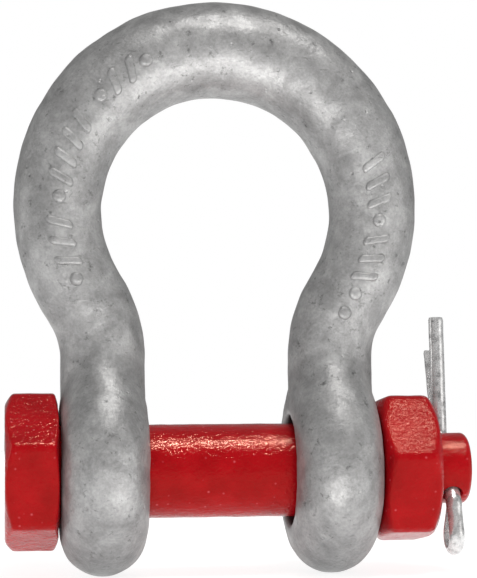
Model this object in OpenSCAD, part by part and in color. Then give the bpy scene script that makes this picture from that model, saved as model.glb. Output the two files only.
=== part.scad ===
// Bow shackle: a forged bow closed by a bolt, a nut and a split cotter pin.
// Origin: on the bolt axis, midway between the ears. +X runs along the bolt
// towards the nut, +Z points to the crown of the bow.

/* [Bow] */
// Gap between the two ears
jaw_gap = 31.8; // [31:0.1:33]
// Inside width of the bow
bow_width = 51.2; // [50:0.1:54]
// Inside length, from the bolt to the crown
inside_length = 72.8; // [70:0.1:78]
// Diameter of the limbs where they run down into the ears
limb_d = 18.7; // [18:0.1:18.8]
// Diameter of the crown
crown_d = 21.4; // [19:0.1:22]
// Thickness of each ear, along the bolt
ear_t = 19; // [19:0.1:20]
// Outer diameter of each ear
ear_d = 45.6; // [44:0.2:48]
// Slope of the limbs where the bow draws in towards the ears, in degrees
neck_slope = 30; // [27:1:32]
// Radius of the bend from the slope into the straight legs
neck_r = 22.5; // [18:0.5:24]

/* [Bolt] */
// Diameter of the plain shank
shank_d = 20.6; // [20.2:0.1:21.5]
// Radial running clearance of the shank in the ears
shank_play = 0.1; // [0.05:0.01:0.1]
// Gap between an ear and the face of the head or the nut
face_gap = 0.4; // [0.2:0.05:0.5]
// Width of the head across its flats
head_af = 31; // [30:0.5:34]
// Height of the head
head_h = 11.6; // [11:0.1:14]
// Turn of the head's flats about the bolt axis, in degrees
head_turn = 9; // [0:1:59]
// Diameter of the reduced end stub
stub_d = 15.8; // [15:0.1:16.4]
// Length of the stub beyond the nut
stub_l = 7.9; // [7:0.1:10]

/* [Nut and thread] */
// Outer diameter of the thread
thread_d = 20; // [19.5:0.1:20]
// Pitch of the thread
pitch = 2.5; // [2:0.5:2.5]
// Radial clearance of the nut on the thread
thread_play = 0.1; // [0.05:0.01:0.2]
// Width of the nut across its flats
nut_af = 30.4; // [29:0.2:32]
// Height of the nut
nut_h = 13; // [13:0.1:16]
// Turn of the nut's flats about the bolt axis, in degrees
nut_turn = 19; // [0:1:59]

/* [Cotter pin] */
// Width of the half-round wire
wire_d = 3.5; // [3:0.1:3.6]
// Gap between the flat sides of the two legs
leg_gap = 0.2; // [0.1:0.05:0.3]
// Diameter of the cross hole that the pin sits in
hole_d = 4.1; // [4:0.1:4.3]
// Distance from the nut to the middle of the pin
cotter_offset = 3.6; // [3:0.1:4]
// Lean of the cross hole from vertical, in degrees
cotter_lean = 45; // [30:1:60]
// Radius of the bends just outside the stub
bend_r = 3; // [2.5:0.1:4]
// Angle that the long leg is bent up by, in degrees
long_turn = 39; // [20:1:60]
// Angle that the short leg is bent up by, in degrees
short_turn = 23; // [10:1:35]
// Length of the long leg beyond its bend
long_leg = 25.9; // [20:0.1:30]
// Length of the short leg beyond its bend
short_leg = 20.7; // [15:0.1:25]
// Angle that the eye is bent down by, in degrees
eye_bend = 50; // [30:1:60]
// Inner radius of the eye
eye_r = 2.7; // [2:0.1:3.5]
// Distance from the bend to the middle of the eye
eye_drop = 5.6; // [5:0.1:7]

/* [Hidden] */

// Smoothness of the round surfaces
$fn = 64;

// Bow: a circle inside, and a stock that thickens towards the crown
bow_r = bow_width / 2;
bow_z = shank_d / 2 + inside_length - bow_r;
leg_x = (jaw_gap + ear_t) / 2;
limb_r = limb_d / 2;
crown_r = crown_d / 2;
bore_d = shank_d + 2 * shank_play;
rim_r = ear_t / 2;

// Heading of the limb: 0 at the crown, 90 straight down
leg_heading = 90;
slope_heading = leg_heading + neck_slope;
ring_step = 4;
ring_sides = 32;

// Places along the bolt
shank_back = 0.5;
ear_face = jaw_gap / 2 + ear_t;
nut_x = ear_face + face_gap;
nut_end = nut_x + nut_h;
shank_end = ear_face - shank_back;
thread_turns = 5;
thread_x = nut_x - pitch / 8;
thread_end = thread_x + thread_turns * pitch;
thread_depth = 0.54 * pitch;
bolt_end = nut_end + stub_l;
stub_bevel = 0.8;
overlap = 0.1;

// Hexagons: radius at the corners and of the faces as shares of the width across the flats
corner_share = 0.565;
face_share = 0.48;
bevel_angle = 30;
mouth_depth = 0.4;

cotter_x = nut_end + cotter_offset;

// Cotter pin, [y, z] along its own leaning axis: the centres of its upper and lower bend,
// then the middle of its eye, a round loop whose sides run straight to the lower bend
bend_gap = 1.3;
bend_reach = stub_d / 2 + bend_gap;
upper_bend = [-bend_r, bend_reach];
lower_bend = [bend_r, -bend_reach];
eye_y = lower_bend[0] - bend_r * cos(eye_bend) + eye_drop * sin(eye_bend);
eye_z = lower_bend[1] - bend_r * sin(eye_bend) - eye_drop * cos(eye_bend);
eye_taper = asin((eye_r - leg_gap / 2) / eye_drop);
inner_r = bend_r - leg_gap / 2;
outer_r = bend_r + leg_gap / 2;
eye_steps = 16;
bend_steps = 4;
wire_sides = 12;

// Radius of the stock at angle a from the crown
function stock_r(a) = limb_r + (crown_r - limb_r) * pow(cos(a / 2), 4);

// Distance of the stock's centre from the middle of the bow
function reach(a) = bow_r + stock_r(a);

// Length of the straight stretch between the bow and the bend above the leg
slope_l = (reach(slope_heading) * sin(slope_heading) - neck_r * (1 - sin(slope_heading)) - leg_x)
        / -cos(slope_heading);
bend_x = leg_x + neck_r;
bend_z = bow_z + (reach(slope_heading) + neck_r) * cos(slope_heading) - slope_l * sin(slope_heading);

// Stations of one limb, [x, z, heading, radius], from the crown to the bolt axis
function limb() = concat(
    [for (a = [0:ring_step:slope_heading])
        [reach(a) * sin(a), bow_z + reach(a) * cos(a), a, stock_r(a)]],
    [for (a = [slope_heading:-ring_step / 2:leg_heading])
        [bend_x - neck_r * sin(a), bend_z - neck_r * cos(a), a,
         limb_r + (stock_r(slope_heading) - limb_r) * (a - leg_heading) / neck_slope]],
    [[leg_x, 0, leg_heading, limb_r]]);

function mirrored(stations) = [for (i = [len(stations) - 1:-1:1])
    [-stations[i][0], stations[i][1], -stations[i][2], stations[i][3]]];

function ring(s) = [for (j = [0:ring_sides - 1])
    let (b = 360 * j / ring_sides)
    [s[0] + s[3] * cos(b) * sin(s[2]), s[3] * sin(b), s[1] + s[3] * cos(b) * cos(s[2])]];

// A closed skin over a row of rings that all have the same number of points
module skin(rings) {
    sides = len(rings[0]);
    count = len(rings);
    quads = [for (i = [0:count - 2], j = [0:sides - 1])
        let (a = i * sides + j, b = i * sides + (j + 1) % sides)
        each [[a, b, b + sides], [a, b + sides, a + sides]]];
    first = [for (j = [sides - 1:-1:0]) j];
    last = [for (j = [0:sides - 1]) (count - 1) * sides + j];
    polyhedron([for (r = rings) each r], concat(quads, [first], [last]));
}

// Turns the Z axis onto the bolt axis
module along_bolt() {
    rotate([0, 90, 0]) children();
}

// A round ear with a fully rounded rim, centred on the bolt axis
module ear() {
    along_bolt() rotate_extrude() {
        translate([0, -rim_r]) square([ear_d / 2 - rim_r, ear_t]);
        translate([ear_d / 2 - rim_r, 0]) intersection() {
            circle(rim_r);
            translate([0, -ear_t]) square([ear_t, 2 * ear_t]);
        }
    }
}

// A hexagon with its corners turned off and both faces bevelled
module hexagon(af, h, turn) {
    corner_r = corner_share * af;
    face_r = face_share * af;
    bevel = (corner_r - face_r) * tan(bevel_angle);
    intersection() {
        rotate(turn) cylinder(d = af / cos(30), h = h, $fn = 6);
        rotate_extrude() polygon([[0, 0], [face_r, 0], [corner_r, bevel],
            [corner_r, h - bevel], [face_r, h], [0, h]]);
    }
}

// Outline of the thread from its root line, [radius, x], with flat crests and roots
function thread_outline(play) = [for (i = [0:thread_turns - 1])
    let (x = thread_x + i * pitch, root = thread_d / 2 - thread_depth + play)
    each [[root, x + pitch / 8], [root + thread_depth, x + pitch * 7 / 16],
          [root + thread_depth, x + pitch * 9 / 16], [root, x + pitch * 7 / 8]]];

// Stations of an arc of the cotter pin's wire, [y, z, heading]; a right turn has a negative radius
function arc(centre, r, from, to, steps) = [for (i = [0:steps])
    let (a = from + (to - from) * i / steps)
    [centre[0] + r * sin(a), centre[1] - r * cos(a), a]];

// The station a length further on, or further back
function onward(s, length) = [s[0] + length * cos(s[2]), s[1] + length * sin(s[2]), s[2]];

// Stations of the wire, from the tip of its long leg round the eye to the tip of its short leg
function wire_route() = let (
    long_bend = arc(upper_bend, -inner_r, long_turn - 90, -90, bend_steps),
    short_bend = arc(upper_bend, outer_r, 90, 90 + short_turn, bend_steps))
    concat(
        [onward(long_bend[0], -long_leg)], long_bend,
        arc(lower_bend, outer_r, -90, eye_bend - 90, bend_steps),
        arc([eye_y, eye_z], eye_r, eye_bend - 90 - eye_taper, eye_bend + 90 + eye_taper, eye_steps),
        arc(lower_bend, -inner_r, eye_bend + 90, 90, bend_steps),
        short_bend, [onward(short_bend[bend_steps], short_leg)]);

// Half-round section of the wire, with its flat towards the inside of the eye
function wire_ring(s) = [for (j = [0:wire_sides])
    let (b = 180 * j / wire_sides - 90, out = wire_d / 2 * cos(b))
    [wire_d / 2 * sin(b), s[0] + out * sin(s[2]), s[1] - out * cos(s[2])]];

// Forged bow with its two ears
module bow() {
    half = limb();
    color([0.58, 0.59, 0.6]) difference() {
        union() {
            skin([for (s = concat(mirrored(half), half)) ring(s)]);
            for (side = [-1, 1]) translate([side * leg_x, 0, 0]) ear();
        }
        along_bolt() cylinder(d = bore_d, h = 3 * ear_face, center = true);
    }
}

// Bolt with a hexagon head, a plain shank, a thread and a reduced stub
module bolt() {
    root = thread_d / 2 - thread_depth;
    stub_r = stub_d / 2;
    color([0.75, 0.07, 0.09]) difference() {
        along_bolt() {
            translate([0, 0, -nut_x - head_h]) hexagon(head_af, head_h, head_turn);
            rotate_extrude() polygon(concat(
                [[0, -nut_x - overlap], [shank_d / 2, -nut_x - overlap], [shank_d / 2, shank_end],
                 [root, shank_end + shank_d / 2 - root]],
                thread_outline(0),
                [[root, thread_end], [stub_r, thread_end + root - stub_r],
                 [stub_r, bolt_end - stub_bevel], [stub_r - stub_bevel, bolt_end], [0, bolt_end]]));
        }
        translate([cotter_x, 0, 0]) rotate([-cotter_lean, 0, 0])
            cylinder(d = hole_d, h = 2 * stub_d, center = true);
    }
}

// Hexagon nut on the bolt's thread
module nut() {
    mouth = thread_d / 2 + mouth_depth;
    root = thread_d / 2 - thread_depth + thread_play;
    color([0.78, 0.08, 0.1]) along_bolt() difference() {
        translate([0, 0, nut_x]) hexagon(nut_af, nut_h, nut_turn);
        rotate_extrude() polygon(concat(
            [[0, nut_x - 1], [root, nut_x - 1]],
            thread_outline(thread_play),
            [[root, thread_end], [root, nut_end + 1], [0, nut_end + 1]]));
        for (face = [nut_x, nut_end]) translate([0, 0, face])
            rotate_extrude() polygon([[0, root - mouth], [root, root - mouth], [mouth, 0],
                [root, mouth - root], [0, mouth - root]]);
    }
}

// Split cotter pin: one half-round wire folded into an eye and two legs
module cotter_pin() {
    color([0.72, 0.73, 0.75]) translate([cotter_x, 0, 0]) rotate([-cotter_lean, 0, 0])
        skin([for (s = wire_route()) wire_ring(s)]);
}

bow();
bolt();
nut();
cotter_pin();
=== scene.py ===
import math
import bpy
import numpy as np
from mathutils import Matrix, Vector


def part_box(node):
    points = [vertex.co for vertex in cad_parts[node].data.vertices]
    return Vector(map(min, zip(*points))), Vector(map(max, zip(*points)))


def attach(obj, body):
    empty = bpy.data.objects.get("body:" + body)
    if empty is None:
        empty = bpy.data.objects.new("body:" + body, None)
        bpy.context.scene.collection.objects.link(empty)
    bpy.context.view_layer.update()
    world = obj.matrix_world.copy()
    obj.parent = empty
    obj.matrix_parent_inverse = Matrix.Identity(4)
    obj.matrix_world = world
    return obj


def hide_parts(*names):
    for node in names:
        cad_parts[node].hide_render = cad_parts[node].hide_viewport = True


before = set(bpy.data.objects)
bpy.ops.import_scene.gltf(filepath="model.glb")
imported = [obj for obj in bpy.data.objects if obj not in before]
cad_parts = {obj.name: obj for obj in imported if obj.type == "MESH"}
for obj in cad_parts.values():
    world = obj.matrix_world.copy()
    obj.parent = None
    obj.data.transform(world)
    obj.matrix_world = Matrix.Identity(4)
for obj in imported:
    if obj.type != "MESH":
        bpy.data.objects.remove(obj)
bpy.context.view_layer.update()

# Looks of a galvanised bow shackle with a red bolt and nut and a bright split cotter pin.
#
# Shapes are worked out in millimetres, in the CAD frame: +X along the bolt towards the nut,
# +Z up to the crown of the bow, and the origin on the bolt axis midway between the ears.

MM = 0.001
SEED = 19


def box_mm(node):
    """Lowest and highest corner of a CAD node, in millimetres."""
    return [np.array(corner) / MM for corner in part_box(node)]


# ---------------------------------------------------------------- sizes, in millimetres

bow_lo, bow_hi = box_mm("bow")
bolt_lo, bolt_hi = box_mm("bolt")
nut_lo, nut_hi = box_mm("nut")
pin_lo, pin_hi = box_mm("cotter_pin")

# Bow: a circle inside, and a stock that thickens towards the crown
BOW_R = 25.6
CROWN_R = 10.7
LIMB_R = 9.35
EAR_T = 19.0
EAR_R = bow_hi[1]
CROWN_Z = bow_hi[2] - 2 * CROWN_R
BOW_Z = CROWN_Z - BOW_R
LEG_X = 25.4
EAR_FACE = LEG_X + EAR_T / 2
NECK_R = 22.5
LEG_HEADING = math.radians(90)
SLOPE_HEADING = math.radians(120)
LEG_FOOT = 2.0
EAR_BLEND = 8.0

# Bow: eased edges of the bores and the slight flare of their mouths
BORE_EASE = 1.2
MOUTH_FLARE = 1.7
MOUTH_START = 4.0
MOUTH_END = 6.5

# Bow: raised marks
MARK_HEIGHT = 0.55
MARK_SKIRT = 0.25
MARK_SINK = 0.12
BAR_HALF = 1.9
BAR_R = 0.85
BAR_SLANT = -0.35
PIP_R = 1.35

# Hexagons of the head and nut, with their bevelled ends as shares of the size across the flats
CORNER_SHARE = 0.565
HEAD_END_SHARE = 0.48
HEAD_SEAT_SHARE = 0.485
NUT_FACE_SHARE = 0.46
BEVEL_SLOPE = math.tan(math.radians(30))

# Bolt
SHANK_R = 10.3
SHANK_BACK = 0.5
BORE_R = SHANK_R + 0.1
HEAD_AF = 31.0
HEAD_CORNER_R = 1.5
HEAD_TURN = math.radians(9)
STUB_R = 7.9
STUB_BEVEL = 0.8
HOLE_FLARE = 0.9
HEAD_X = bolt_lo[0]
BOLT_END = bolt_hi[0]
HEAD_FACE = nut_lo[0]

# Nut and thread
NUT_AF = 30.4
NUT_CORNER_R = 1.6
NUT_MOUTH = 0.4
NUT_TURN = math.radians(19)
NUT_X, NUT_END = nut_lo[0], nut_hi[0]
THREAD_R = 10.0
PITCH = 2.5
THREAD_TURNS = 5
THREAD_DEPTH = 0.54 * PITCH
THREAD_PLAY = 0.1
THREAD_X = NUT_X - PITCH / 8
THREAD_END = THREAD_X + THREAD_TURNS * PITCH

# Cotter pin, laid out along its own leaning axis
WIRE_R = 1.75
LEG_GAP = 0.2
HOLE_R = 2.05
COTTER_X = (pin_lo[0] + pin_hi[0]) / 2
COTTER_LEAN = math.radians(45)
BEND_R = 3.0
BEND_REACH = STUB_R + 1.3
LONG_TURN = math.radians(39)
SHORT_TURN = math.radians(23)
EYE_BEND = math.radians(50)
LONG_LEG = 25.9
SHORT_LEG = 20.7
EYE_R = 2.7
EYE_DROP = 5.6

# Camera, in millimetres and degrees
CAMERA_PLACE = (-47.9, -434.7, 21.9)
CAMERA_YAW = -6.93
CAMERA_PITCH = 2.41
CAMERA_ROLL = -0.28
CAMERA_LENS = 122.3
CAMERA_SENSOR = 36

# Studio
WORLD_SHARE = 0.31
LIGHT_COLOUR = (1.0, 0.985, 0.965)
FLOOR_REACH = 700
FLOOR_GAP = 0.15
FLOOR_GLOW = 0.78


# ---------------------------------------------------------------- mesh tools

def add_piece(name, points, faces, body, material, replaces=None):
    """A smooth mesh object, given in millimetres, that rides on a CAD body."""
    mesh = bpy.data.meshes.new(name)
    mesh.from_pydata((np.asarray(points) * MM).tolist(), [], [list(f) for f in faces])
    mesh.validate()
    mesh.shade_smooth()
    mesh.materials.append(material)
    piece = bpy.data.objects.new(name, mesh)
    bpy.context.scene.collection.objects.link(piece)
    if body:
        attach(piece, body)
    if replaces:
        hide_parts(replaces)
    return piece


def waves(points, wavelength, seed, count=28):
    """Smooth noise from about -1 to 1 at each point: plane waves in random directions."""
    rng = np.random.default_rng(seed)
    axes = rng.normal(size=(count, 3))
    axes /= np.linalg.norm(axes, axis=1)[:, None]
    lengths = wavelength * rng.uniform(0.7, 1.5, count)
    phases = rng.uniform(0, 2 * math.pi, count)
    turns = points @ (axes * (2 * math.pi / lengths)[:, None]).T + phases
    return np.sin(turns).sum(axis=1) / math.sqrt(count)


def blend_min(a, b, width):
    """The smaller of two distances, with the step between them rounded over a width."""
    width = np.maximum(width, 1e-6)
    near = np.maximum(width - np.abs(a - b), 0) / width
    return np.minimum(a, b) - near * near * width / 4


def surface_net(field, lo, hi, step):
    """Points and quads of the surface where field(points) is zero; it is negative inside."""
    counts = [int(math.ceil((h - l) / step)) + 1 for l, h in zip(lo, hi)]
    grid = np.stack(np.meshgrid(*[l + step * np.arange(n) for l, n in zip(lo, counts)],
                                indexing="ij"), axis=-1)
    values = field(grid.reshape(-1, 3)).reshape(counts)
    inside = values < 0
    corner_sum = sum(inside[i:counts[0] - 1 + i, j:counts[1] - 1 + j, k:counts[2] - 1 + k].astype(int)
                     for i in (0, 1) for j in (0, 1) for k in (0, 1))
    crossed = (corner_sum > 0) & (corner_sum < 8)
    cell = np.full(crossed.shape, -1)
    cell[crossed] = np.arange(crossed.sum())
    total = np.zeros((crossed.sum(), 3))
    hits = np.zeros(crossed.sum())
    quads = []
    for axis in range(3):
        a, b = (axis + 1) % 3, (axis + 2) % 3
        first = np.take(values, range(counts[axis] - 1), axis=axis)
        second = np.take(values, range(1, counts[axis]), axis=axis)
        at = np.argwhere((first < 0) != (second < 0))
        f0, f1 = first[tuple(at.T)], second[tuple(at.T)]
        point = at.astype(float)
        point[:, axis] += f0 / (f0 - f1)
        ring = []
        for da, db in ((0, 0), (1, 0), (1, 1), (0, 1)):
            near = at.copy()
            near[:, a] -= da
            near[:, b] -= db
            index = cell[tuple(near.T)]
            hits += np.bincount(index, minlength=len(hits))
            for k in range(3):
                total[:, k] += np.bincount(index, weights=point[:, k], minlength=len(hits))
            ring.append(index)
        quad = np.stack(ring, axis=1)
        quad[f0 >= 0] = quad[f0 >= 0][:, ::-1]
        quads.append(quad)
    return np.array(lo) + step * total / hits[:, None], np.concatenate(quads)


def normals(field, points, reach=0.02):
    """Unit outward normals of a field, and its slope, by central differences."""
    slope = np.stack([(field(points + reach * e) - field(points - reach * e)) / (2 * reach)
                      for e in np.eye(3)], axis=1)
    size = np.linalg.norm(slope, axis=1)
    return slope / size[:, None], size


def settle(field, points, rounds=4):
    """Points moved onto the exact surface of a field."""
    for _ in range(rounds):
        normal, size = normals(field, points)
        points = points - normal * (field(points) / size)[:, None]
    return points


def rounded(corners, steps=4):
    """A profile through corners (radius, x, ease), each corner eased over its own length."""
    out = []
    for i, (r, x, ease) in enumerate(corners):
        here = np.array((r, x))
        if not ease or i in (0, len(corners) - 1):
            out.append(here)
            continue
        back = np.array(corners[i - 1][:2]) - here
        on = np.array(corners[i + 1][:2]) - here
        cut = min(ease, 0.45 * np.hypot(*back), 0.45 * np.hypot(*on))
        start = here + back / np.hypot(*back) * cut
        end = here + on / np.hypot(*on) * cut
        for w in np.linspace(0, 1, steps + 1):
            out.append((1 - w) ** 2 * start + 2 * w * (1 - w) * here + w * w * end)
    return np.array(out)


def turned(profile, columns, spacing, closed=False):
    """Points and faces of a body turned about the X axis. profile(angle) gives its outline there,
    with the same number of points at every angle; long stretches are cut to the spacing."""
    angles = np.linspace(0, 2 * math.pi, columns, endpoint=False)
    outlines = np.array([profile(a) for a in angles])
    if closed:
        outlines = np.concatenate([outlines, outlines[:, :1]], axis=1)
    lengths = np.linalg.norm(np.diff(outlines, axis=1), axis=2).max(axis=0)
    rows = []
    for i, length in enumerate(lengths):
        cuts = max(1, int(math.ceil(length / spacing)))
        for w in np.arange(cuts) / cuts:
            rows.append(outlines[:, i] * (1 - w) + outlines[:, i + 1] * w)
    if not closed:
        rows.append(outlines[:, -1])
    rows = np.array(rows)
    points = np.stack([rows[..., 1], rows[..., 0] * np.cos(angles), rows[..., 0] * np.sin(angles)], axis=-1)
    count = len(rows)
    faces = []
    for i in range(count if closed else count - 1):
        for j in range(columns):
            a, b = i * columns + j, i * columns + (j + 1) % columns
            c, d = (i + 1) % count * columns + (j + 1) % columns, (i + 1) % count * columns + j
            faces.append((a, b, c, d))
    points = points.reshape(-1, 3)
    if closed:
        return points, faces
    # The first and last row lie on the axis: each becomes one point
    last = (count - 1) * columns
    keep = {i: 0 for i in range(columns)}
    keep.update({last + i: last - columns + 1 for i in range(columns)})
    keep.update({i: i - columns + 1 for i in range(columns, last)})
    merged = np.concatenate([points[:1], points[columns:last], points[last:last + 1]])
    faces = [tuple(dict.fromkeys(keep[v] for v in face)) for face in faces]
    return merged, faces


def point_normals(points, faces):
    """Unit normal of each point of a mesh given as quads and triangles."""
    normal = np.zeros_like(points)
    for size in (3, 4):
        some = np.array([f for f in faces if len(f) == size])
        if not len(some):
            continue
        across = np.cross(points[some[:, 2]] - points[some[:, 0]],
                          points[some[:, -1]] - points[some[:, 1]])
        for k in range(size):
            np.add.at(normal, some[:, k], across)
    return normal / np.maximum(np.linalg.norm(normal, axis=1), 1e-9)[:, None]


def hexagon_radius(angle, across, corner, turn):
    """Radius of a hexagon with rounded corners at an angle about the X axis."""
    sector = math.radians(60)
    local = (angle - turn) % sector
    if local > sector / 2:
        local -= sector
    half = across / 2
    flat_end = (half - corner) * math.tan(sector / 2)
    if half * math.tan(abs(local)) <= flat_end:
        return half / math.cos(local)
    centre = (half - corner) / math.cos(sector / 2)
    off = sector / 2 - abs(local)
    return centre * math.cos(off) + math.sqrt(corner ** 2 - (centre * math.sin(off)) ** 2)


# ---------------------------------------------------------------- bow

def stock_r(heading):
    """Radius of the stock at a heading: 0 at the crown, a right angle in the legs."""
    return LIMB_R + (CROWN_R - LIMB_R) * np.cos(heading / 2) ** 4


SLOPE_START = np.array([math.sin(SLOPE_HEADING), math.cos(SLOPE_HEADING)]) \
    * (BOW_R + stock_r(SLOPE_HEADING)) + (0, BOW_Z)
SLOPE_DIR = np.array([math.cos(SLOPE_HEADING), -math.sin(SLOPE_HEADING)])
SLOPE_L = (SLOPE_START[0] - NECK_R * (1 - math.sin(SLOPE_HEADING)) - LEG_X) / -math.cos(SLOPE_HEADING)
BEND = SLOPE_START + SLOPE_DIR * SLOPE_L \
    + NECK_R * np.array([math.sin(SLOPE_HEADING), math.cos(SLOPE_HEADING)])


def limb_field(p):
    """Distance from the bar of the bow: crown, slopes, bends and legs down to the ears."""
    x, y, z = np.abs(p[:, 0]), p[:, 1], p[:, 2]
    heading = np.arctan2(x, z - BOW_Z)
    around = np.hypot(x, z - BOW_Z)
    radius = stock_r(np.minimum(heading, SLOPE_HEADING))
    off = around - BOW_R - radius
    along = (x - SLOPE_START[0]) * SLOPE_DIR[0] + (z - SLOPE_START[1]) * SLOPE_DIR[1]
    across = (x - SLOPE_START[0]) * -SLOPE_DIR[1] + (z - SLOPE_START[1]) * SLOPE_DIR[0]
    on_slope = (heading > SLOPE_HEADING) | (z < BEND[1])
    off = np.where(on_slope, across, off)
    in_bend = on_slope & (along > SLOPE_L)
    bend = NECK_R - np.hypot(BEND[0] - x, BEND[1] - z)
    turned_to = np.arctan2(BEND[0] - x, BEND[1] - z)
    off = np.where(in_bend, bend, off)
    share = np.clip((turned_to - LEG_HEADING) / (SLOPE_HEADING - LEG_HEADING), 0, 1)
    radius = np.where(in_bend, LIMB_R + (stock_r(SLOPE_HEADING) - LIMB_R) * share, radius)
    in_leg = z < BEND[1]
    off = np.where(in_leg, x - LEG_X, off)
    radius = np.where(in_leg, LIMB_R, radius)
    below = np.minimum(z - LEG_FOOT, 0)
    return np.sqrt(off ** 2 + y ** 2 + below ** 2) - radius


def ear_field(p):
    """Distance from the nearer ear, a thick disc with a fully rounded rim."""
    x = np.abs(p[:, 0]) - LEG_X
    around = np.hypot(p[:, 1], p[:, 2])
    return np.hypot(np.maximum(around - (EAR_R - EAR_T / 2), 0), x) - EAR_T / 2


def bow_field(p):
    """Distance from the bow: the limbs flow into the front and back of the ears, and the
    edges of the bores are eased."""
    side = np.abs(np.abs(p[:, 0]) - LEG_X)
    turn = p[:, 1] ** 2 / (p[:, 1] ** 2 + side ** 2 + 1e-6)
    solid = blend_min(limb_field(p), ear_field(p), 0.2 + EAR_BLEND * turn)
    flare = MOUTH_FLARE * np.clip((side - MOUTH_START) / (MOUTH_END - MOUTH_START), 0, 1)
    bore = BORE_R + flare - np.hypot(p[:, 1], p[:, 2])
    return -blend_min(-solid, -bore, BORE_EASE)


def forged(points, normal):
    """Points of the bow with the gentle unevenness of a forging under thick zinc."""
    clear = np.clip((np.hypot(points[:, 1], points[:, 2]) - BORE_R - 0.6) / 3, 0, 1)
    swell = 0.08 * waves(points, 16, SEED) + 0.05 * waves(points, 5, SEED + 1)
    return points + normal * (swell * clear)[:, None]


def make_bow(material):
    """The whole forging as one surface, with its forged unevenness."""
    margin = 1.5
    step = 0.62
    points, faces = surface_net(bow_field, bow_lo - margin, bow_hi + margin, step)
    points = settle(bow_field, points)
    points = forged(points, normals(bow_field, points)[0])
    return add_piece("bow_body", points, faces, "bow", material, "bow")


def stock_frame(heading):
    """Middle of the stock, its direction and its radius at a heading on the right-hand limb,
    which runs on past the slope at its end."""
    a = min(heading, SLOPE_HEADING)
    reach = BOW_R + stock_r(a)
    middle = np.array([reach * math.sin(a), 0, BOW_Z + reach * math.cos(a)])
    along = np.array([math.cos(a), 0, -math.sin(a)])
    return middle + along * reach * (heading - a), along, stock_r(a)


def mark_rows():
    """Raised marks as (heading, side, half length, radius, slant): plain slanted bars in short
    rows with round pips between them, and no lettering."""
    bars = [(-1, (33, 40, 58, 65, 72, 79, 95, 102, 109)), (1, (73, 80, 87, 101, 108, 115))]
    pips = [(-1, (27, 47, 86, 116)), (1, (94, 122, 130))]
    rows = [(math.radians(a), side, BAR_HALF, BAR_R, BAR_SLANT) for side, row in bars for a in row]
    rows += [(math.radians(a), side, 0.0, PIP_R, 0.0) for side, row in pips for a in row]
    return rows


def mark_dome(heading, side, half_length, radius, slant, ring_count, sides):
    """Rings of one mark, (x, y, z, rise), from its skirt in to its middle. The places are on
    the round of the stock, and the rise is what the mark stands out there."""
    middle, along, stock = stock_frame(heading)
    out = np.array([-along[2], 0, along[0]])
    rings = []
    for i in range(ring_count + 1):
        share = 1 - i / (ring_count + 0.5)
        rise = MARK_HEIGHT * (1 - share ** 4) - MARK_SINK * share ** 8
        reach = (radius + MARK_SKIRT) * share
        for k in range(sides):
            turn = 2 * math.pi * k / sides
            across = math.copysign(half_length, math.cos(turn)) + reach * math.cos(turn)
            run = reach * math.sin(turn) + slant * across
            bend = across / stock
            spot = middle + along * run \
                + stock * (out * math.sin(bend) - np.array([0, math.cos(bend), 0]))
            rings.append((spot[0] * side, spot[1], spot[2], rise))
    return rings


def make_marks(material):
    """Raised marks on the front of the limbs, settled on the surface of the bow."""
    ring_count, sides = 10, 40
    points, faces = [], []
    for heading, side, half_length, radius, slant in mark_rows():
        base = len(points)
        points += mark_dome(heading, side, half_length, radius, slant, ring_count, sides)
        for i in range(ring_count):
            for k in range(sides):
                a, b = base + i * sides + k, base + i * sides + (k + 1) % sides
                quad = (a, b, b + sides, a + sides)
                faces.append(quad if side > 0 else quad[::-1])
        cap = [base + ring_count * sides + k for k in range(sides)]
        faces.append(tuple(cap if side > 0 else cap[::-1]))
    points = np.array(points)
    spots, rise = settle(bow_field, points[:, :3]), points[:, 3]
    normal = normals(bow_field, spots)[0]
    spots = forged(spots, normal) + normal * rise[:, None]
    spots = spots + normal * (0.03 * waves(spots, 2.5, SEED + 3))[:, None]
    return add_piece("bow_marks", spots, faces, "bow", material)


# ---------------------------------------------------------------- bolt and nut

def thread_corners(play):
    """Corners of the thread, (radius, x, ease), as even rings with flat crests and roots."""
    root = THREAD_R - THREAD_DEPTH + play
    out = []
    for i in range(THREAD_TURNS):
        x = THREAD_X + i * PITCH
        out += [(root, x + PITCH / 8, 0.12), (root + THREAD_DEPTH, x + PITCH * 7 / 16, 0.1),
                (root + THREAD_DEPTH, x + PITCH * 9 / 16, 0.1), (root, x + PITCH * 7 / 8, 0.12)]
    return out


def bolt_outline(angle):
    """Outline of the bolt at an angle: head, shank, thread, stub."""
    corner = hexagon_radius(angle, HEAD_AF, HEAD_CORNER_R, math.pi + HEAD_TURN)
    corner = min(corner, CORNER_SHARE * HEAD_AF)
    outer, inner = HEAD_END_SHARE * HEAD_AF, HEAD_SEAT_SHARE * HEAD_AF
    root = THREAD_R - THREAD_DEPTH
    shank_end = EAR_FACE - SHANK_BACK
    return rounded([
        (0, HEAD_X, 0), (outer, HEAD_X, 1.2), (corner, HEAD_X + (corner - outer) * BEVEL_SLOPE, 0.8),
        (corner, -HEAD_FACE - (corner - inner) * BEVEL_SLOPE * 0.5, 0.7), (inner, -HEAD_FACE, 0.5),
        (SHANK_R, -HEAD_FACE, 0.6), (SHANK_R, shank_end, 0.5),
        (root, shank_end + SHANK_R - root, 0.4), *thread_corners(0),
        (root, THREAD_END, 0.2), (STUB_R, THREAD_END + root - STUB_R, 0.4),
        (STUB_R, BOLT_END - STUB_BEVEL, 0.5), (STUB_R - STUB_BEVEL, BOLT_END, 0.5), (0, BOLT_END, 0)])


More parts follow.
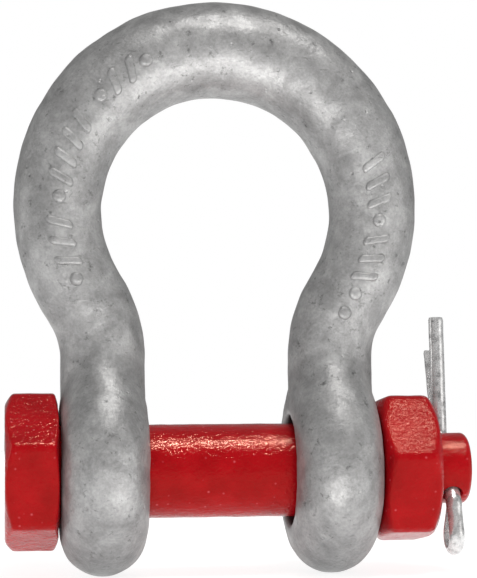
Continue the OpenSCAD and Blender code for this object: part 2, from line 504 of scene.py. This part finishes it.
def nut_outline(angle):
    """Closed outline of the nut at an angle: outside, end face, thread inside."""
    corner = hexagon_radius(angle, NUT_AF, NUT_CORNER_R, math.pi + NUT_TURN)
    corner = min(corner, CORNER_SHARE * NUT_AF)
    face = NUT_FACE_SHARE * NUT_AF
    bevel = BEVEL_SLOPE * (corner - face)
    root = THREAD_R - THREAD_DEPTH + THREAD_PLAY
    mouth = THREAD_R + NUT_MOUTH
    sink = mouth - root
    return rounded([
        (mouth, NUT_X, 0), (face, NUT_X, 0.8), (corner, NUT_X + bevel, 1.3),
        (corner, NUT_END - bevel, 1.3), (face, NUT_END, 0.8), (mouth, NUT_END, 0.3),
        (root, NUT_END - sink * 0.6, 0.2), *thread_corners(THREAD_PLAY)[::-1], (root, NUT_X + 0.2, 0)])


def painted(points, faces, seed):
    """Points with the slight waves of thick paint."""
    around = np.hypot(points[:, 1], points[:, 2])
    seen = np.clip((around - (STUB_R - 1)) / 2, 0, 1)
    swell = 0.03 * waves(points, 7, seed) + 0.012 * waves(points, 2.4, seed + 1)
    return points + point_normals(points, faces) * (swell * seen)[:, None]


def cotter_tilt():
    """From the cotter pin's own axis to the CAD frame, in metres."""
    return Matrix.Translation((COTTER_X * MM, 0, 0)) @ Matrix.Rotation(-COTTER_LEAN, 4, "X")


def cut(piece, cutter):
    """Takes the cutter's shape out of the piece."""
    tool = piece.modifiers.new("cut", "BOOLEAN")
    tool.operation = "DIFFERENCE"
    tool.object = cutter
    tool.solver = "EXACT"
    bpy.context.view_layer.update()
    evaluated = piece.evaluated_get(bpy.context.evaluated_depsgraph_get())
    result = bpy.data.meshes.new_from_object(evaluated)
    piece.modifiers.clear()
    piece.data = result
    cutter_mesh = cutter.data
    bpy.data.objects.remove(cutter)
    bpy.data.meshes.remove(cutter_mesh)


def hole_cutter(material):
    """The body of the cross hole with its flared mouths, lying along the cotter pin."""
    end = STUB_R + 1.5
    mouth = HOLE_R + HOLE_FLARE
    outline = rounded([(0, -end, 0), (mouth, -end, 0), (HOLE_R, -STUB_R + HOLE_FLARE, 0.8),
                       (HOLE_R, STUB_R - HOLE_FLARE, 0.8), (mouth, end, 0), (0, end, 0)])
    points, faces = turned(lambda angle: outline, 48, 2)
    cutter = add_piece("hole", points, faces, None, material)
    cutter.data.transform(cotter_tilt() @ Matrix.Rotation(math.radians(-90), 4, "Y"))
    return cutter


def make_bolt(material):
    """The bolt, turned in one piece, with the cross hole cut through its stub."""
    points, faces = turned(bolt_outline, 216, 0.7)
    piece = add_piece("bolt_body", painted(points, faces, SEED + 5), faces,
                      "bolt", material, "bolt")
    cut(piece, hole_cutter(material))
    piece.data.set_sharp_from_angle(angle=math.radians(50))
    return piece


def make_nut(material):
    """The nut, turned as a closed ring with its thread inside."""
    points, faces = turned(nut_outline, 216, 0.7, closed=True)
    return add_piece("nut_body", painted(points, faces, SEED + 8), faces,
                     "nut", material, "nut")


# ---------------------------------------------------------------- cotter pin

def arc(centre, r, start, end, steps=14):
    """Stations (y, z, heading) of an arc of the wire; a right turn has a negative radius."""
    return [(centre[0] + r * math.sin(a), centre[1] - r * math.cos(a), a)
            for a in np.linspace(start, end, steps)]


def onward(station, length):
    """The station a length further on, or further back."""
    y, z, a = station
    return (y + length * math.cos(a), z + length * math.sin(a), a)


def wire_route():
    """Stations from the tip of the long leg round the eye to the tip of the short leg."""
    down, up = -math.pi / 2, math.pi / 2
    inner, outer = BEND_R - LEG_GAP / 2, BEND_R + LEG_GAP / 2
    upper, lower = (-BEND_R, BEND_REACH), (BEND_R, -BEND_REACH)
    eye = (lower[0] - BEND_R * math.cos(EYE_BEND) + EYE_DROP * math.sin(EYE_BEND),
           lower[1] - BEND_R * math.sin(EYE_BEND) - EYE_DROP * math.cos(EYE_BEND))
    taper = math.asin((EYE_R - LEG_GAP / 2) / EYE_DROP)
    long_bend = arc(upper, -inner, LONG_TURN + down, down)
    short_bend = arc(upper, outer, up, up + SHORT_TURN)
    return [onward(long_bend[0], -LONG_LEG), *long_bend,
            *arc(lower, outer, down, EYE_BEND + down),
            *arc(eye, EYE_R, EYE_BEND + down - taper, EYE_BEND + up + taper, 40),
            *arc(lower, -inner, EYE_BEND + up, up), *short_bend, onward(short_bend[-1], SHORT_LEG)]


def smooth_route(spacing=0.6, rounds=6):
    """The stations of the wire filled in to a spacing, with the jumps in its bend eased."""
    stations = wire_route()
    route = []
    for (y0, z0, a0), (y1, z1, a1) in zip(stations[:-1], stations[1:]):
        cuts = max(1, int(math.hypot(y1 - y0, z1 - z0) / spacing))
        route += [(y0 + (y1 - y0) * i / cuts, z0 + (z1 - z0) * i / cuts, a0 + (a1 - a0) * i / cuts)
                  for i in range(cuts)]
    route = np.array(route + [stations[-1]])
    for _ in range(rounds):
        route[1:-1] = (route[:-2] + 2 * route[1:-1] + route[2:]) / 4
    return route


def wire_section():
    """Half-round section of the wire, (across, outward), with softened edges."""
    sweep = np.radians(np.linspace(-80, 80, 19))
    return np.concatenate([
        np.stack([WIRE_R * np.sin(sweep), WIRE_R * np.cos(sweep)], axis=1),
        np.stack([WIRE_R * np.linspace(0.9, -0.9, 5), np.zeros(5)], axis=1)])


def make_cotter(material):
    """The split pin: one half-round wire swept along its route, then leaned over."""
    route, section = smooth_route(), wire_section()
    outward = np.stack([np.sin(route[:, 2]), -np.cos(route[:, 2])], axis=1)
    # The cut ends are bevelled
    size = np.ones(len(route))
    size[[0, -1]] = 0.9
    points = np.array([[w * s, r[0] + o[0] * h * s, r[1] + o[1] * h * s]
                       for r, o, s in zip(route, outward, size) for w, h in section])
    n, m = len(section), len(route)
    faces = [(i * n + j, i * n + (j + 1) % n, (i + 1) * n + (j + 1) % n, (i + 1) * n + j)
             for i in range(m - 1) for j in range(n)]
    faces += [tuple(range(n - 1, -1, -1)), tuple(range((m - 1) * n, m * n))]
    points = points + point_normals(points, [f for f in faces if len(f) == 4]) \
        * (0.02 * waves(points, 3, SEED + 11))[:, None]
    piece = add_piece("cotter_wire", points, faces, None, material)
    piece.data.transform(cotter_tilt())
    piece.data.set_sharp_from_angle(angle=math.radians(50))
    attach(piece, "cotter_pin")
    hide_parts("cotter_pin")
    return piece


# ---------------------------------------------------------------- materials

# Distance from the bolt's axis, in millimetres, that the whole ramp of painted shade in the bores spans
BORE_SHADE_SPAN = 20.0


class Shader:
    """A node material whose pattern coordinates are in millimetres."""

    def __init__(self, name, **sockets):
        self.material = bpy.data.materials.new(name)
        self.material.use_nodes = True
        self.tree = self.material.node_tree
        self.surface = self.tree.nodes["Principled BSDF"]
        for key, value in sockets.items():
            self.surface.inputs[key.replace("_", " ")].default_value = value
        place = self.add("ShaderNodeTexCoord").outputs["Object"]
        scaled = self.add("ShaderNodeVectorMath", operation="SCALE")
        scaled.inputs["Scale"].default_value = 1 / MM
        self.link(place, scaled.inputs[0])
        self.place = scaled.outputs[0]

    def add(self, kind, **settings):
        node = self.tree.nodes.new(kind)
        for key, value in settings.items():
            setattr(node, key, value)
        return node

    def link(self, source, target):
        self.tree.links.new(source, target)

    def feed(self, value, socket):
        """Gives a socket a number, a colour or another node's output."""
        if isinstance(value, (int, float)):
            socket.default_value = value
        elif isinstance(value, tuple):
            socket.default_value = (*value, 1)
        else:
            self.link(value, socket)

    def noise(self, size, detail=4, roughness=0.55, distortion=0.0, stretch=(1, 1, 1), shift=(0, 0, 0)):
        """Noise whose features are about size millimetres across."""
        node = self.add("ShaderNodeTexNoise")
        node.inputs["Scale"].default_value = 1 / size
        node.inputs["Detail"].default_value = detail
        node.inputs["Roughness"].default_value = roughness
        node.inputs["Distortion"].default_value = distortion
        mapping = self.add("ShaderNodeMapping")
        mapping.inputs["Location"].default_value = shift
        mapping.inputs["Scale"].default_value = stretch
        self.link(self.place, mapping.inputs["Vector"])
        self.link(mapping.outputs["Vector"], node.inputs["Vector"])
        return node.outputs["Fac"]

    def spots(self, size, reach):
        """1 in the middle of scattered round spots, falling to 0 at reach times their spacing."""
        node = self.add("ShaderNodeTexVoronoi", feature="F1")
        node.inputs["Scale"].default_value = 1 / size
        self.link(self.place, node.inputs["Vector"])
        return self.ramp(node.outputs["Distance"], (0.0, 1.0), (reach, 0.0))

    def ramp(self, source, *stops):
        """Maps a value through (position, grey or colour) stops."""
        node = self.add("ShaderNodeValToRGB")
        band = node.color_ramp
        while len(band.elements) < len(stops):
            band.elements.new(0.5)
        for element, (position, value) in zip(band.elements, stops):
            element.position = position
            element.color = (*value, 1) if isinstance(value, tuple) else (value, value, value, 1)
        self.link(source, node.inputs["Fac"])
        return node.outputs["Color"]

    def mix(self, kind, factor, a, b):
        """Two colours mixed by a factor."""
        node = self.add("ShaderNodeMix", data_type="RGBA", blend_type=kind)
        for value, socket in ((factor, node.inputs["Factor"]), (a, node.inputs[6]), (b, node.inputs[7])):
            self.feed(value, socket)
        return node.outputs[2]

    def math(self, operation, a, b):
        node = self.add("ShaderNodeMath", operation=operation)
        for value, socket in ((a, node.inputs[0]), (b, node.inputs[1])):
            self.feed(value, socket)
        return node.outputs[0]

    def bump(self, height, depth, before=None):
        """Relief of a depth in millimetres, on top of another relief."""
        node = self.add("ShaderNodeBump")
        node.inputs["Distance"].default_value = depth * MM
        self.link(height, node.inputs["Height"])
        if before:
            self.link(before, node.inputs["Normal"])
        return node.outputs["Normal"]

    def set(self, socket, source):
        self.link(source, self.surface.inputs[socket])


def galvanised():
    """Dull hot-dip zinc: mottled greys, spangle, dark flecks and pits, faint scratches, soft
    lumps, painted shade in the bores and painted shade darkening the underside."""
    s = Shader("galvanised", Metallic=0.48)
    cloud = s.noise(8, 6, 0.62, 0.5, shift=(90, 50, 20))
    cloud = s.ramp(cloud, (0.30, 0.235), (0.5, 0.335), (0.70, 0.445))
    fleck = s.ramp(s.noise(2.0, 5, 0.72, 0.3), (0.30, 0.35), (0.41, 1.0))
    grain = s.ramp(s.noise(0.6, 3, 0.6), (0.3, 0.84), (0.7, 1.08))
    scratch = s.ramp(s.noise(1.6, 4, 0.6, 0.2, stretch=(0.35, 2.6, 1.7)), (0.29, 0.6), (0.36, 1.0))
    spangle = s.ramp(s.noise(2.6, 4, 0.6, shift=(40, 7, 21)), (0.38, 0.85), (0.66, 1.0))
    parts = s.add("ShaderNodeSeparateXYZ")
    s.link(s.place, parts.inputs[0])
    y, z = parts.outputs["Y"], parts.outputs["Z"]
    squares = s.math("ADD", s.math("POWER", y, 2.0), s.math("POWER", z, 2.0))
    from_bolt = s.math("SQRT", squares, 0.0)
    # Painted shade: the colour is darkened almost to black within about 12 mm of the bolt's axis, on the
    # bore walls and mouths
    bore_shade = s.ramp(s.math("DIVIDE", from_bolt, BORE_SHADE_SPAN), (0.602, 0.06), (0.622, 1.0))
    # Painted shade: the colour darkens towards the bottom of the ears, down to 0.72 at the lowest
    under = s.ramp(s.math("DIVIDE", z, -EAR_R), (0.55, 1.0), (0.95, 0.72))
    base = s.mix("MULTIPLY", 0.9, s.mix("MULTIPLY", 1.0, cloud, spangle), fleck)
    base = s.mix("MULTIPLY", 1.0, s.mix("MULTIPLY", 1.0, base, bore_shade), under)
    s.set("Base Color", s.mix("MULTIPLY", 0.8, s.mix("MULTIPLY", 1.0, base, grain), scratch))
    s.set("Roughness", s.ramp(s.noise(4, 5, 0.65), (0.3, 0.33), (0.7, 0.50)))
    lumps = s.bump(s.noise(3.2, 3, 0.5), 0.22)
    crust = s.bump(s.noise(1.1, 5, 0.68, 0.4), 0.12, lumps)
    s.set("Normal", s.bump(s.spots(4.2, 0.1), -0.25, crust))
    return s.material


def red_paint(name):
    """Thick glossy red paint with wrinkles, soft runs and pale specks of dust."""
    s = Shader(name, Roughness=0.11, Specular_IOR_Level=0.27, Specular_Tint=(1.0, 0.50, 0.34, 1))
    red = s.ramp(s.noise(6, 3), (0.3, (0.32, 0.0015, 0.005)), (0.7, (0.42, 0.003, 0.008)))
    dust = s.math("MULTIPLY", s.spots(2.1, 0.17), s.ramp(s.noise(4, 2), (0.42, 0.0), (0.5, 1.0)))
    s.set("Base Color", s.mix("MIX", dust, red, (0.62, 0.10, 0.12)))
    runs = s.bump(s.noise(3.0, 2, 0.5, 0.3), 0.12)
    wrinkles = s.bump(s.noise(0.9, 3, 0.6, 0.5, stretch=(0.8, 1.0, 1.0)), 0.20, runs)
    s.set("Normal", s.bump(dust, 0.05, wrinkles))
    return s.material


def bright_zinc():
    """Drawn zinc-plated wire with fine marks along and across it."""
    s = Shader("bright_zinc", Metallic=0.72)
    s.set("Base Color", s.ramp(s.noise(1.5, 5, 0.7), (0.33, 0.30), (0.46, 0.68), (0.65, 0.84)))
    s.set("Roughness", s.ramp(s.noise(1.0, 4), (0.3, 0.18), (0.7, 0.34)))
    s.set("Normal", s.bump(s.noise(1.2, 4, 0.6), 0.04))
    return s.material


# ---------------------------------------------------------------- studio

def make_camera():
    """A long lens a little to the left of the shackle, nearly level with it."""
    data = bpy.data.cameras.new("camera")
    data.sensor_width = CAMERA_SENSOR
    data.lens = CAMERA_LENS
    camera = bpy.data.objects.new("camera", data)
    turn = Matrix.Rotation(math.radians(CAMERA_YAW), 4, "Z") \
        @ Matrix.Rotation(math.radians(90 + CAMERA_PITCH), 4, "X") \
        @ Matrix.Rotation(math.radians(CAMERA_ROLL), 4, "Z")
    camera.matrix_world = Matrix.Translation(Vector(CAMERA_PLACE) * MM) @ turn
    bpy.context.scene.collection.objects.link(camera)
    bpy.context.scene.camera = camera


def soft_box(name, place, target, size, power, receivers=None, glossy=True, diffuse=True):
    """A rectangular area light, its place, target and size in millimetres. It may be kept to
    the pieces of one collection, and to glossy or diffuse light."""
    data = bpy.data.lights.new(name, "AREA")
    data.shape = "RECTANGLE"
    data.size = size[0] * MM
    data.size_y = size[1] * MM
    data.energy = power
    data.color = LIGHT_COLOUR
    light = bpy.data.objects.new(name, data)
    light.location = Vector(place) * MM
    light.visible_camera = False
    light.visible_glossy = glossy
    light.visible_diffuse = diffuse
    light.rotation_mode = "QUATERNION"
    light.rotation_quaternion = (Vector(target) - Vector(place)).to_track_quat("-Z", "Y")
    light.light_linking.receiver_collection = receivers
    bpy.context.scene.collection.objects.link(light)


def make_world():
    """White behind the object, and a dimmer white light from all round."""
    world = bpy.data.worlds.new("studio")
    world.use_nodes = True
    nodes, links = world.node_tree.nodes, world.node_tree.links
    background = nodes["Background"]
    rays = nodes.new("ShaderNodeLightPath")
    share = nodes.new("ShaderNodeMapRange")
    share.inputs["To Min"].default_value = WORLD_SHARE
    share.inputs["To Max"].default_value = 1.0
    links.new(rays.outputs["Is Camera Ray"], share.inputs["Value"])
    links.new(share.outputs["Result"], background.inputs["Strength"])
    background.inputs["Color"].default_value = (1, 1, 1, 1)
    bpy.context.scene.world = world
    bpy.context.scene.view_settings.view_transform = "Standard"


def make_lights(bow_pieces, bolt_pieces, nut_pieces):
    """Soft boxes all round, low ones for the zinc, and a narrow one for the paint's highlight."""
    soft_box("overhead", (70, -125, 400), (10, 0, 40), (240, 90), 0.70)
    soft_box("front_fill", (30, -580, 120), (0, 0, 40), (420, 400), 1.35, glossy=False)
    soft_box("front_low", (45, -135, -20), (45, -135, 100), (260, 70), 0.33, bow_pieces)
    soft_box("ear_glow", (12, -54, -19), (12, -10, -4), (36, 14), 0.009, bow_pieces, diffuse=False)
    for name, pieces, power in (("bolt_strip", bolt_pieces, 3.0), ("nut_strip", nut_pieces, 0.35)):
        soft_box(name, (60, -107, 400), (20, 0, 0), (300, 18), power, pieces, diffuse=False)
    soft_box("left_side", (-420, 60, 60), (0, 0, 50), (200, 300), 0.24)
    soft_box("right_side", (400, -220, 60), (0, 0, 50), (260, 300), 0.26)
    soft_box("back_fill", (-150, 600, 200), (0, 0, 40), (500, 400), 1.0, glossy=False)


def make_floor():
    """A pale disc that the ears stand on."""
    floor_z = bow_lo[2] - FLOOR_GAP
    rim = [(FLOOR_REACH * math.cos(a), FLOOR_REACH * math.sin(a), floor_z)
           for a in np.radians(range(0, 360, 5))]
    pale = Shader("floor", Base_Color=(0.5, 0.5, 0.5, 1), Roughness=0.9,
                  Emission_Color=(1, 1, 1, 1), Emission_Strength=FLOOR_GLOW)
    add_piece("floor", rim, [range(len(rim))], None, pale.material)


def grouped(name, *pieces):
    """A collection that a light can be kept to."""
    group = bpy.data.collections.new(name)
    for piece in pieces:
        group.objects.link(piece)
    return group


# ---------------------------------------------------------------- the scene

make_camera()
zinc = galvanised()
bow_pieces = grouped("bow_pieces", make_bow(zinc), make_marks(zinc))
bolt_pieces = grouped("bolt_pieces", make_bolt(red_paint("red_paint_bolt")))
nut_pieces = grouped("nut_pieces", make_nut(red_paint("red_paint_nut")))
make_world()
make_lights(bow_pieces, bolt_pieces, nut_pieces)
make_floor()
make_cotter(bright_zinc())
